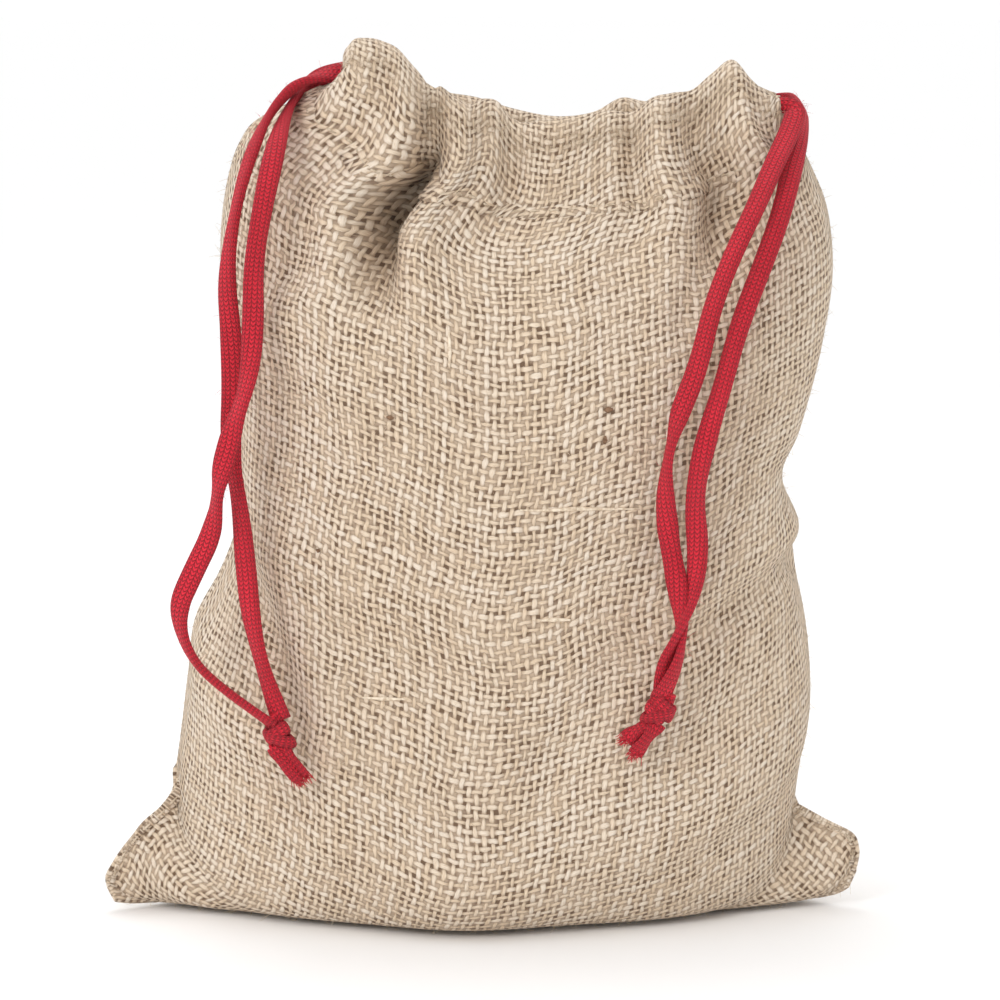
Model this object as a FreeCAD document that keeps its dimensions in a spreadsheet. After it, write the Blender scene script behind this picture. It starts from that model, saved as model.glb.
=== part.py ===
"""Drawstring pouch of plain-woven jute: two panels seamed at the sides and bottom, a hemmed
casing round the mouth, and two cord drawstrings that leave the casing at opposite sides.

Frame: +X to the right seen from the front, +Y to the back, +Z up. The origin is the middle of
the footprint, on the surface that the pouch stands on. Lengths are millimetres.
"""
import FreeCAD
import Part
import Sketcher

import math
import os

from FreeCAD import Placement, Rotation, Vector

DOC = FreeCAD.newDocument("DrawstringPouch")

# Sections of the filled pouch, from the ground up: name, height, centre in X, half width,
# half depth, corner radius.
SECTIONS = [
    ("base", 0.0, 0.5, 76.0, 37.0, 33.0),
    ("heel", 9.0, 0.5, 82.0, 42.0, 38.0),
    ("lower", 40.0, 2.0, 83.0, 43.0, 39.0),
    ("belly", 80.0, 5.0, 81.0, 43.0, 39.0),
    ("waist", 119.0, 7.5, 73.0, 42.0, 38.0),
    ("chest", 152.0, 11.0, 77.0, 43.0, 39.0),
    ("bulge", 180.0, 12.0, 81.0, 40.0, 36.0),
    ("shoulder", 190.0, 15.0, 72.0, 29.0, 25.0),
    ("neck", 197.0, 21.0, 56.0, 15.0, 8.0),
]

# Sections of a bottom corner that sticks out flat: name, reach from the middle, lowest and
# highest height, half depth, corner radius.
EAR_SECTIONS = [
    ("root", 70.0, 0.0, 31.0, 20.0, 10.0),
    ("middle", 88.0, 0.0, 24.0, 9.0, 6.0),
    ("tip", 101.0, 2.0, 15.0, 3.0, 2.8),
]

SIZES = [
    ("wall", 1.5),
    ("seam_allowance", 7.0),
    ("seam_thickness", 2.4),
    ("side_seam_foot", 34.0),
    ("side_seam_top", 186.0),
    ("mouth_left", -35.0),
    ("mouth_right", 77.0),
    ("mouth_gap", 4.0),
    ("channel_depth", 8.0),
    ("rim_sag_x", 27.0),
    ("rim_low_height", 213.0),
    ("rim_radius", 112.0),
    ("casing_top", 240.0),
    ("stitch_length", 3.2),
    ("stitch_width", 0.8),
    ("stitch_proud", 0.6),
    ("stitch_pitch", 5.0),
    ("hem_stitch_height", 199.5),
    ("cord_bulk", 3.2),
    ("run_clearance", 0.5),
    ("left_lane", 7.6),
    ("right_lane", 11.4),
    ("knot_reach", 4.4),
    ("knot_height", 5.0),
    ("knot_depth", 3.6),
    ("tail_radius", 1.7),
    ("tail_tip_radius", 2.4),
    ("tail_start", 3.0),
    ("wrap_sink", 0.6),
    ("stitch_corner", 0.36),
    ("stitch_margin", 1.0),
    ("overlap", 1.0),
    ("skin_corner_share", 0.8),
    ("ear_corner_share", 0.95),
    ("core_drop", 5.0),
    ("core_rise", 10.0),
    ("clear_width", 150.0),
    ("clear_depth", 80.0),
    ("clear_height", 260.0),
    ("clear_drop", 5.0),
]

# Where each hanging strand runs, from its exit at the end of the casing down to its knot.
LEFT_FRONT_ROUTE = [
    (-35.0, -7.6, 222.5), (-46.5, -8.6, 222.0), (-55.5, -14.0, 213.0), (-60.5, -24.0, 201.0),
    (-64.0, -31.0, 186.5), (-66.0, -34.5, 171.0), (-64.5, -36.0, 155.0), (-64.5, -36.5, 139.5),
    (-65.0, -37.0, 126.0), (-62.5, -38.5, 112.0), (-61.0, -42.0, 97.0), (-59.5, -44.0, 82.5),
    (-56.0, -45.5, 68.5), (-51.8, -46.5, 57.5),
]
LEFT_BACK_ROUTE = [
    (-35.0, 7.6, 222.5), (-43.5, 5.5, 222.0), (-49.5, -4.5, 216.0), (-52.0, -17.0, 210.5),
    (-53.5, -28.5, 203.0), (-56.0, -36.0, 190.5), (-58.5, -40.5, 175.0), (-58.5, -41.5, 160.0),
    (-59.5, -44.0, 145.5), (-64.0, -45.5, 132.5), (-67.5, -45.0, 119.5), (-69.0, -44.0, 106.5),
    (-74.5, -44.0, 95.5), (-79.0, -44.0, 85.5), (-75.5, -45.5, 73.5), (-66.0, -46.0, 64.5),
    (-56.0, -46.5, 56.5),
]
RIGHT_FRONT_ROUTE = [
    (77.0, -11.4, 213.5), (84.5, -12.4, 214.2), (82.0, -20.5, 208.0), (76.5, -30.0, 200.5),
    (70.5, -39.0, 190.5), (64.0, -45.0, 178.0), (58.5, -48.5, 164.5), (55.0, -49.5, 149.0),
    (49.5, -49.5, 135.5), (46.5, -49.5, 121.0), (47.5, -49.5, 106.5), (49.0, -49.5, 93.5),
    (46.5, -50.0, 80.0), (43.5, -50.5, 64.0),
]
RIGHT_BACK_ROUTE = [
    (77.0, 11.4, 213.5), (84.5, 9.0, 214.5), (88.5, 0.0, 212.5), (88.0, -13.0, 207.5),
    (84.0, -26.0, 199.5), (79.5, -36.5, 188.0), (73.0, -44.0, 174.5), (65.5, -48.0, 160.0),
    (61.5, -49.0, 145.0), (57.0, -49.5, 130.5), (54.0, -49.5, 116.0), (55.5, -49.5, 101.5),
    (54.5, -49.5, 88.0), (51.0, -50.0, 76.5), (47.8, -50.5, 64.0),
]

# Where the rest of each drawstring lies inside the casing: along the front, round the far end
# of the mouth and back. The two halves mirror each other in Y, so a point is X and height.
LEFT_RUN_END = (4.0, 210.0)
LEFT_LOOP_LANE = [(22.0, 206.0), (42.0, 204.8), (62.0, 205.6)]
LEFT_LOOP_TURN = (80.5, 205.6)
RIGHT_RUN_END = (37.0, 202.6)
RIGHT_LOOP_LANE = [(19.0, 202.4), (-1.0, 205.0), (-19.0, 209.0)]
RIGHT_LOOP_TURN = (-39.0, 211.5)

KNOTS = {
    "left": Vector(-52.9, -46.5, 53.9),
    "right": Vector(45.7, -50.5, 60.8),
}
TAILS = {
    "left": [Vector(1.1, -0.1, -2.6), Vector(1.5, -0.1, -2.2)],
    "right": [Vector(-2.4, -0.1, -1.6), Vector(-1.6, -0.1, -2.4)],
}
TAIL_LENGTHS = {"left": 11.0, "right": 10.0}
# The knot's one wrap leans by this many degrees.
WRAP_TILT = -25

# A loop turns into the mouth's end over this length of X, with its corner this much nearer the
# middle than its lane.
LOOP_SHOULDER = 6.0
LOOP_CORNER = 0.6

# How much of the shorter side at each of a cord's points its rounding arc takes up.
ARC_SHARE = 0.45
# How far a cord's volume may be from its length times its section.
VOLUME_TOLERANCE = 0.02

made = {}
sheet = DOC.addObject("Spreadsheet::Sheet", "Sizes")


def fill_sheet():
    """Write every driving dimension as a plain number with an alias."""
    rows = list(SIZES)
    for name, height, centre, reach, depth, corner in SECTIONS:
        rows += [(name + "_height", height), (name + "_centre", centre), (name + "_reach", reach),
                 (name + "_depth", depth), (name + "_corner", corner)]
    for name, reach, low, high, depth, corner in EAR_SECTIONS:
        rows += [("ear_" + name + "_reach", reach), ("ear_" + name + "_low", low),
                 ("ear_" + name + "_high", high), ("ear_" + name + "_depth", depth),
                 ("ear_" + name + "_corner", corner)]
    for number, (alias, value) in enumerate(rows, start=1):
        sheet.set(f"A{number}", alias)
        sheet.set(f"B{number}", str(value))
        sheet.setAlias(f"B{number}", alias)
    DOC.recompute()


def size(alias):
    """Read one dimension from the sheet."""
    return float(sheet.get(alias))


def bind(obj, **expressions):
    """Bind properties of an object to the sheet. A dot in a property's name is written __."""
    for name, expression in expressions.items():
        obj.setExpression(name.replace("__", "."), expression)


def origin_plane(body, role):
    """Find one of a body's own origin planes."""
    return next(f for f in body.Origin.OriginFeatures if f.Role == role)


def rounded_outline(sketch, left, right, low, high, corner):
    """Draw a rounded rectangle whose four sides and corner radius follow expressions.

    It starts as a 20 mm square with 1 mm corners, which the constraints then resize.
    """
    arc = Part.ArcOfCircle
    quarter = math.pi / 2
    normal = Vector(0, 0, 1)
    sketch.addGeometry([
        Part.LineSegment(Vector(-9, -10, 0), Vector(9, -10, 0)),
        arc(Part.Circle(Vector(9, -9, 0), normal, 1), 3 * quarter, 4 * quarter),
        Part.LineSegment(Vector(10, -9, 0), Vector(10, 9, 0)),
        arc(Part.Circle(Vector(9, 9, 0), normal, 1), 0, quarter),
        Part.LineSegment(Vector(9, 10, 0), Vector(-9, 10, 0)),
        arc(Part.Circle(Vector(-9, 9, 0), normal, 1), quarter, 2 * quarter),
        Part.LineSegment(Vector(-10, 9, 0), Vector(-10, -9, 0)),
        arc(Part.Circle(Vector(-9, -9, 0), normal, 1), 2 * quarter, 3 * quarter),
    ], False)
    joins = [(0, 2, 1, 1), (1, 2, 2, 1), (2, 2, 3, 1), (3, 2, 4, 1),
             (4, 2, 5, 1), (5, 2, 6, 1), (6, 2, 7, 1), (7, 2, 0, 1)]
    for join in joins:
        sketch.addConstraint(Sketcher.Constraint("Tangent", *join))
    for line in (0, 4):
        sketch.addConstraint(Sketcher.Constraint("Horizontal", line))
    for line in (2, 6):
        sketch.addConstraint(Sketcher.Constraint("Vertical", line))
    for first, second in ((1, 3), (3, 5), (5, 7)):
        sketch.addConstraint(Sketcher.Constraint("Equal", first, second))
    sides = [
        ("DistanceX", (-1, 1, 6, 1, -10.0), left),
        ("DistanceX", (-1, 1, 2, 1, 10.0), right),
        ("DistanceY", (-1, 1, 0, 1, -10.0), low),
        ("DistanceY", (-1, 1, 4, 1, 10.0), high),
        ("Radius", (1, 1.0), corner),
    ]
    for kind, place, expression in sides:
        index = sketch.addConstraint(Sketcher.Constraint(kind, *place))
        sketch.setExpression(f"Constraints[{index}]", expression)


def sketch_on(body, name, role, offset):
    """Attach a sketch to one of the body's origin planes, at an offset along its normal."""
    sketch = body.newObject("Sketcher::SketchObject", name)
    sketch.AttachmentSupport = [(origin_plane(body, role), "")]
    sketch.MapMode = "FlatFace"
    sketch.setExpression("AttachmentOffset.Base.z", offset)
    return sketch


def loft(body, sketches, name):
    """Loft through the sketches, smoothly, as the body's only feature."""
    feature = body.newObject("PartDesign::AdditiveLoft", name)
    feature.Profile = sketches[0]
    feature.Sections = sketches[1:]
    feature.Ruled = False
    for sketch in sketches:
        sketch.Visibility = False
    return feature


def filled_form(name, inset, first_rise, last_rise):
    """The filled pouch as one smooth solid, its sides moved in by the inset."""
    body = DOC.addObject("PartDesign::Body", name)
    sketches = []
    for place, (section, *_values) in enumerate(SECTIONS):
        rise = "0"
        if place == 0:
            rise = first_rise
        if place == len(SECTIONS) - 1:
            rise = last_rise
        sketch = sketch_on(body, f"{name}_{section}", "XY_Plane", f"Sizes.{section}_height + {rise}")
        rounded_outline(
            sketch,
            f"Sizes.{section}_centre - Sizes.{section}_reach + {inset}",
            f"Sizes.{section}_centre + Sizes.{section}_reach - {inset}",
            f"-Sizes.{section}_depth + {inset}",
            f"Sizes.{section}_depth - {inset}",
            f"Sizes.{section}_corner - {inset} * Sizes.skin_corner_share",
        )
        sketches.append(sketch)
    loft(body, sketches, name + "_loft")
    return body


def ear_form(name, side, inset):
    """One bottom corner, sticking out along X to the side given as 1 or -1."""
    body = DOC.addObject("PartDesign::Body", name)
    sketches = []
    for section, *_values in EAR_SECTIONS:
        pull = inset if section == "tip" else "0"
        offset = f"{side} * (Sizes.ear_{section}_reach - {pull})"
        sketch = sketch_on(body, f"{name}_{section}", "YZ_Plane", offset)
        rounded_outline(
            sketch,
            f"-Sizes.ear_{section}_depth + {inset}",
            f"Sizes.ear_{section}_depth - {inset}",
            f"Sizes.ear_{section}_low + {inset}",
            f"Sizes.ear_{section}_high - {inset}",
            f"Sizes.ear_{section}_corner - {inset} * Sizes.ear_corner_share",
        )
        sketches.append(sketch)
    loft(body, sketches, name + "_loft")
    return body


def block(name, x_low, x_high, y_low, y_high, z_low, z_high):
    """A box between six expressions."""
    box = DOC.addObject("Part::Box", name)
    bind(box, Length=f"{x_high} - ({x_low})", Width=f"{y_high} - ({y_low})",
         Height=f"{z_high} - ({z_low})", Placement__Base__x=x_low,
         Placement__Base__y=y_low, Placement__Base__z=z_low)
    return box


def boolean(kind, name, base, tool):
    """A Cut or a Common of two objects."""
    feature = DOC.addObject("Part::" + kind, name)
    feature.Base = base
    feature.Tool = tool
    return feature


def fuse(name, shapes):
    """One object from several."""
    feature = DOC.addObject("Part::MultiFuse", name)
    feature.Shapes = shapes
    return feature


def keep(name, obj):
    """Name a finished piece of the pouch."""
    obj.Label = name
    made[name] = obj
    return obj


def build_panels():
    """The front and back panels: a hollow, filled-out skin with its two corner ears."""
    outer = fuse("outer_form", [filled_form("outer_skin", "0", "0", "0"),
                                ear_form("right_ear_skin", 1, "0"),
                                ear_form("left_ear_skin", -1, "0")])
    hollow = filled_form("inner_skin", "Sizes.wall", "Sizes.wall", "Sizes.wall")
    inner = fuse("inner_form", [hollow,
                                ear_form("right_ear_hollow", 1, "Sizes.wall"),
                                ear_form("left_ear_hollow", -1, "Sizes.wall")])
    shell = boolean("Cut", "pouch_shell", outer, inner)
    span = ("-Sizes.clear_width", "Sizes.clear_width")
    height = ("-Sizes.clear_drop", "Sizes.clear_height")
    front_half = block("front_half", *span, "-Sizes.clear_depth", "0", *height)
    back_half = block("back_half", *span, "0", "Sizes.clear_depth", *height)
    keep("front_panel", boolean("Common", "front_panel_cloth", shell, front_half))
    keep("back_panel", boolean("Common", "back_panel_cloth", shell, back_half))
    return hollow


def build_seams(hollow):
    """The seam allowances inside the pouch: one up each side and one along the bottom."""
    allowance = "(Sizes.wall + Sizes.seam_allowance)"
    core = filled_form("seam_core", allowance, "-Sizes.core_drop", "Sizes.core_rise")
    band = boolean("Cut", "seam_band", hollow, core)
    half = "Sizes.seam_thickness / 2"
    for side, x_low, x_high in (("left", "-Sizes.clear_width", "0"),
                                ("right", "0", "Sizes.clear_width")):
        slab = block(f"{side}_seam_slab", x_low, x_high, "-" + half, half,
                     "Sizes.side_seam_foot", "Sizes.side_seam_top")
        keep(f"{side}_side_seam", boolean("Common", f"{side}_seam_cloth", band, slab))
    keep("bottom_seam", block("bottom_seam_cloth", "-Sizes.ear_root_reach", "Sizes.ear_root_reach",
                              "-" + half, half, "Sizes.wall", "Sizes.wall + Sizes.seam_allowance"))


def rim_cylinder(name, radius):
    """A cylinder along Y whose underside is the sagging line of the rim."""
    cylinder = DOC.addObject("Part::Cylinder", name)
    bind(cylinder, Radius=radius, Height="Sizes.clear_depth",
         Placement__Base__x="Sizes.rim_sag_x",
         Placement__Base__z="Sizes.rim_low_height + Sizes.rim_radius")
    cylinder.Placement = Placement(Vector(0, size("clear_depth") / 2, 0),
                                   Rotation(Vector(1, 0, 0), 90))
    return cylinder


def build_casings():
    """The hemmed channel on each side of the mouth, open at both ends for the drawstrings."""
    outside = rim_cylinder("rim", "Sizes.rim_radius")
    inside = rim_cylinder("rim_inside", "Sizes.rim_radius + Sizes.wall")
    near = "Sizes.mouth_gap"
    far = "(Sizes.mouth_gap + 2 * Sizes.wall + Sizes.channel_depth)"
    for side, sign in (("front", "-"), ("back", "")):
        faces = (sign + far, sign + near)
        walls = (f"{sign}({far} - Sizes.wall)", f"{sign}({near} + Sizes.wall)")
        if side == "back":
            faces = faces[::-1]
            walls = walls[::-1]
        band = block(f"{side}_band", "Sizes.mouth_left", "Sizes.mouth_right", *faces,
                     "Sizes.neck_height", "Sizes.casing_top")
        hollow = block(f"{side}_hollow", "Sizes.mouth_left - Sizes.overlap",
                       "Sizes.mouth_right + Sizes.overlap", *walls,
                       "Sizes.neck_height + Sizes.wall", "Sizes.casing_top")
        folded = boolean("Cut", f"{side}_hem", band, outside)
        channel = boolean("Cut", f"{side}_channel", hollow, inside)
        keep(f"{side}_casing", boolean("Cut", f"{side}_casing_cloth", folded, channel))


def stitch_row(name, facing, face, height, first, last):
    """A straight row of stitches along X, standing proud of a face that looks along Y."""
    body = DOC.addObject("PartDesign::Body", name)
    # The XZ plane's own normal points along -Y.
    sketch = sketch_on(body, name + "_outline", "XZ_Plane", f"-({face})")
    rounded_outline(sketch, first, f"{first} + Sizes.stitch_length",
                    f"{height} - Sizes.stitch_width / 2", f"{height} + Sizes.stitch_width / 2",
                    "Sizes.stitch_corner")
    sketch.Visibility = False
    pad = body.newObject("PartDesign::Pad", name + "_stitch")
    pad.Profile = sketch
    bind(pad, Length="Sizes.stitch_proud")
    pad.Reversed = facing > 0
    row = body.newObject("PartDesign::LinearPattern", name + "_row")
    row.Originals = [pad]
    row.Direction = (sketch, ["H_Axis"])
    count = f"floor(({last} - ({first}) - Sizes.stitch_length) / Sizes.stitch_pitch) + 1"
    bind(row, Occurrences=count, Length=f"({count} - 1) * Sizes.stitch_pitch")
    body.Tip = row
    keep(name, body)


def wall_at(height, side):
    """X of the inner face of the side wall, along straight lines between the sections."""
    spots = [(size(s[0] + "_height"), size(s[0] + "_centre") + side * size(s[0] + "_reach"))
             for s in SECTIONS]
    for (low, x_low), (high, x_high) in zip(spots, spots[1:]):
        if low <= height <= high:
            share = (height - low) / (high - low)
            return x_low + share * (x_high - x_low) - side * size("wall")
    raise ValueError(f"no wall at {height}")


def build_stitching():
    """The threads: along both hems, up both side seams and along the bottom seam."""
    far = "(Sizes.mouth_gap + 2 * Sizes.wall + Sizes.channel_depth)"
    start = "(Sizes.mouth_left + Sizes.stitch_margin)"
    stop = "Sizes.mouth_right"
    stitch_row("front_casing_stitching", -1, "-" + far, "Sizes.hem_stitch_height", start, stop)
    stitch_row("back_casing_stitching", 1, far, "Sizes.hem_stitch_height", start, stop)
    stitch_row("bottom_seam_stitching", 1, "Sizes.seam_thickness / 2",
               "Sizes.wall + Sizes.seam_allowance / 2",
               "(-Sizes.ear_root_reach + 2 * Sizes.stitch_margin)", "Sizes.ear_root_reach")
    face = size("seam_thickness") / 2
    middle = size("wall") + size("seam_allowance") / 2
    step = size("stitch_pitch")
    for side_name, side in (("left", -1), ("right", 1)):
        stitches = []
        height = size("side_seam_foot") + step
        while height < size("side_seam_top") - step:
            x = wall_at(height, side) - side * middle
            corner = Vector(x - size("stitch_width") / 2, face, height - size("stitch_length") / 2)
            stitches.append(Part.makeBox(size("stitch_width"), size("stitch_proud"),
                                         size("stitch_length"), corner))
            height += step
        name = f"{side_name}_seam_stitching"
        thread = DOC.addObject("Part::Feature", name + "_thread")
        thread.Shape = Part.makeCompound(stitches)
        keep(name, thread)


def cord_path(name, points):
    """Straight runs joined by tangent arcs through a cord's points. Prints each arc's radius."""
    points = [Vector(*p) for p in points]
    edges = []
    radii = []
    start = points[0]
    for before, corner, after in zip(points, points[1:], points[2:]):
        incoming = corner - before
        outgoing = after - corner
        half_turn = incoming.getAngle(outgoing) / 2
        tangent = ARC_SHARE * min(incoming.Length, outgoing.Length)
        incoming.normalize()
        outgoing.normalize()
        arc_start = corner - incoming * tangent
        arc_end = corner + outgoing * tangent
        radius = tangent / math.tan(half_turn)
        towards = (outgoing - incoming).normalize()
        arc_middle = corner + towards * (radius / math.cos(half_turn) - radius)
        edges.append(Part.LineSegment(start, arc_start).toShape())
        edges.append(Part.Arc(arc_start, arc_middle, arc_end).toShape())
        radii.append(round(radius, 1))
        start = arc_end
    edges.append(Part.LineSegment(start, points[-1]).toShape())
    path = Part.Wire(edges)
    print(f"{name}: length {path.Length:.1f}, radii {radii}")
    return path


def cord_tube(name, points):
    """A round tube of the cord's bulk along its points."""
    path = cord_path(name, points)
    radius = size("cord_bulk") / 2
    first = Vector(*points[0])
    heading = Vector(*points[1]) - first
    ring = Part.Wire(Part.Circle(first, heading, radius).toShape())
    tube = path.makePipeShell([ring], True, False)
    expected = math.pi * radius ** 2 * path.Length
    if abs(tube.Volume - expected) > VOLUME_TOLERANCE * expected:
        raise RuntimeError(f"{name}: volume {tube.Volume:.1f}, expected {expected:.1f}")
    feature = DOC.addObject("Part::Feature", name + "_tube")
    feature.Shape = tube
    return keep(name, feature)


def loop_points(run_end, lane_points, turn, lane):
    """The hidden part of a drawstring: along one channel, round the mouth's end and back."""
    near_side = [(x, -lane, z) for x, z in [run_end] + lane_points]
    # A hair of clearance, because the run turns a little where the loop carries on.
    start = Vector(*near_side[0])
    away = (Vector(*near_side[1]) - start).normalize()
    near_side[0] = tuple(start + away * size("run_clearance"))
    x, z = turn
    inner = x - math.copysign(LOOP_SHOULDER, x)
    corner = lane - LOOP_CORNER
    turn_side = [(inner, -lane, z), (x, -corner, z)]
    return near_side + turn_side + [(px, -py, pz) for px, py, pz in reversed(near_side + turn_side)]


def build_drawstrings():
    """Both drawstrings: the runs in the casing, the hanging strands, the knots and the tails."""
    routes = {"left": (LEFT_FRONT_ROUTE, LEFT_BACK_ROUTE),
              "right": (RIGHT_FRONT_ROUTE, RIGHT_BACK_ROUTE)}
    run_ends = {"left": LEFT_RUN_END, "right": RIGHT_RUN_END}
    loops = {"left": (LEFT_LOOP_LANE, LEFT_LOOP_TURN), "right": (RIGHT_LOOP_LANE, RIGHT_LOOP_TURN)}
    for side in ("left", "right"):
        lane = size(side + "_lane")
        x_end, z_end = run_ends[side]
        for face, route in zip(("front", "back"), routes[side]):
            cord_tube(f"{side}_cord_{face}_strand", route)
            exit_x, exit_y, exit_z = route[0]
            start = Vector(exit_x, exit_y, exit_z)
            along = Vector(x_end, math.copysign(lane, exit_y), z_end) - start
            run = DOC.addObject("Part::Cylinder", f"{side}_cord_{face}_run_rod")
            bind(run, Radius="Sizes.cord_bulk / 2")
            run.Height = along.Length
            run.Placement = Placement(start, Rotation(Vector(0, 0, 1), along))
            keep(f"{side}_cord_{face}_run", run)
        cord_tube(f"{side}_cord_loop", loop_points(run_ends[side], *loops[side], lane))
        build_knot(side)


def build_knot(side):
    """An overhand knot as a lump with one wrap round it, and the two short tails below it."""
    centre = KNOTS[side]
    lump = DOC.addObject("Part::Ellipsoid", f"{side}_knot_lump")
    bind(lump, Radius1="Sizes.knot_height", Radius2="Sizes.knot_reach", Radius3="Sizes.knot_depth")
    lump.Placement = Placement(centre, Rotation())
    wrap = DOC.addObject("Part::Torus", f"{side}_knot_wrap")
    bind(wrap, Radius1="Sizes.knot_depth - Sizes.wrap_sink", Radius2="Sizes.cord_bulk / 2")
    wrap.Placement = Placement(centre, Rotation(Vector(0, 1, 0), WRAP_TILT))
    keep(f"{side}_knot", fuse(f"{side}_knot_cord", [lump, wrap]))
    tails = []
    for number, heading in enumerate(TAILS[side], start=1):
        heading = Vector(heading).normalize()
        tail = DOC.addObject("Part::Cone", f"{side}_tail_{number}")
        bind(tail, Radius1="Sizes.tail_radius", Radius2="Sizes.tail_tip_radius")
        tail.Height = TAIL_LENGTHS[side]
        start = centre + heading * size("tail_start")
        tail.Placement = Placement(start, Rotation(Vector(0, 0, 1), heading))
        tails.append(tail)
    keep(f"{side}_tails", fuse(f"{side}_tail_pair", tails))


def check_and_write():
    """Check every object and every kept shape, then write one STEP file for each piece."""
    DOC.recompute()
    for obj in DOC.Objects:
        if "Invalid" in obj.State or "Error" in obj.State:
            raise RuntimeError(f"{obj.Name} did not recompute: {obj.State}")
    for name, obj in made.items():
        if obj.Shape.isNull() or not obj.Shape.isValid() or obj.Shape.Volume <= 0:
            raise RuntimeError(f"{name} has no valid shape")
    os.makedirs("parts", exist_ok=True)
    for name, obj in made.items():
        obj.Shape.exportStep(f"parts/{name}.step")
        print(f"{name}: {len(obj.Shape.Solids)} solid(s), {obj.Shape.Volume:.0f} mm3")


fill_sheet()
skin_hollow = build_panels()
build_seams(skin_hollow)
build_casings()
build_stitching()
build_drawstrings()
check_and_write()
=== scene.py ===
"""Looks of the drawstring pouch: jute cloth gathered at the mouth by two flat red cords.

Lengths below are millimetres unless a name says otherwise, and go into Blender through MM.
Cloth is addressed by its flat pattern: `across` runs from one side seam (-HALF) to the other
(+HALF), and `up` from the bottom seam (0) to the fold at the rim (RIM).
"""

import math

import bpy
import numpy as np
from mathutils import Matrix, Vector


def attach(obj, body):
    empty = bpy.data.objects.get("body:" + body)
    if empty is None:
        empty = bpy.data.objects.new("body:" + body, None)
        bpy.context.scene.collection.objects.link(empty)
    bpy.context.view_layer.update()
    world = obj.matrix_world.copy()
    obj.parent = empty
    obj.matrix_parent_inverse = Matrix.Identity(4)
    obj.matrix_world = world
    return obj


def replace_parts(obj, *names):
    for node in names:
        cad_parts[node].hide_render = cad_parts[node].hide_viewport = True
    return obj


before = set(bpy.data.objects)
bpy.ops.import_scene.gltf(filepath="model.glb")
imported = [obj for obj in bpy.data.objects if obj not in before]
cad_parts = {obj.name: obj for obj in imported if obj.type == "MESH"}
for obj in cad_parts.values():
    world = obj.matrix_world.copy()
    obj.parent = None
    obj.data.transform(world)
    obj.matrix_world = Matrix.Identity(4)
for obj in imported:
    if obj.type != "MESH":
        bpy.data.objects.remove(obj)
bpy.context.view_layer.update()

MM = 0.001
HALF = 101.5
RIM = 254.0
THREAD_PITCH = 2.08
CORD_WIDTH = 5.6
CORD_THICKNESS = 2.3

# The two panels, and the way along Y that each faces.
FACES = {"front": -1.0, "back": 1.0}

scene = bpy.context.scene
rng = np.random.default_rng(7)


# ---- camera, light and floor

def put_aimed(obj, place, aim):
    """Put a camera or a light in the scene at a place, facing a point, in metres."""
    scene.collection.objects.link(obj)
    obj.location = place
    obj.rotation_mode = "QUATERNION"
    obj.rotation_quaternion = (Vector(aim) - Vector(place)).to_track_quat("-Z", "Y")


def make_camera():
    """A long lens level with the mouth, looking a little down, from in front."""
    data = bpy.data.cameras.new("camera")
    data.sensor_width = 36.0
    data.lens = 142.3
    data.clip_start = 0.05
    data.clip_end = 20.0
    scene.camera = bpy.data.objects.new("camera", data)
    put_aimed(scene.camera, (0.0046, -1.05, 0.25), (0.0046, 0.0, 0.1085))


def area_light(name, place, aim, size, watts):
    """A square soft box, its size in metres."""
    data = bpy.data.lights.new(name, "AREA")
    data.shape = "SQUARE"
    data.size = size
    data.energy = watts
    put_aimed(bpy.data.objects.new(name, data), place, aim)


def make_studio():
    """A white sweep under soft boxes, with a bright even surround."""
    scene.view_settings.view_transform = "Standard"
    world = bpy.data.worlds.new("surround")
    world.use_nodes = True
    light = world.node_tree.nodes["Background"].inputs
    light["Color"].default_value = (1.0, 1.0, 1.0, 1.0)
    light["Strength"].default_value = 1.03
    scene.world = world
    middle = (0.0, 0.0, 0.11)
    area_light("key", (-0.75, -1.15, 0.75), middle, 0.45, 5.0)
    area_light("top", (-0.1, 0.35, 1.0), middle, 0.5, 1.9)
    bpy.ops.mesh.primitive_plane_add(size=80.0, location=(0.0, 0.0, -0.0004))
    floor = bpy.context.object
    floor.name = "floor"
    paint = Graph("floor_white")
    paint.surface((0.97, 0.97, 0.97), Roughness=0.8)
    floor.data.materials.append(paint.material)


# ---- materials


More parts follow.
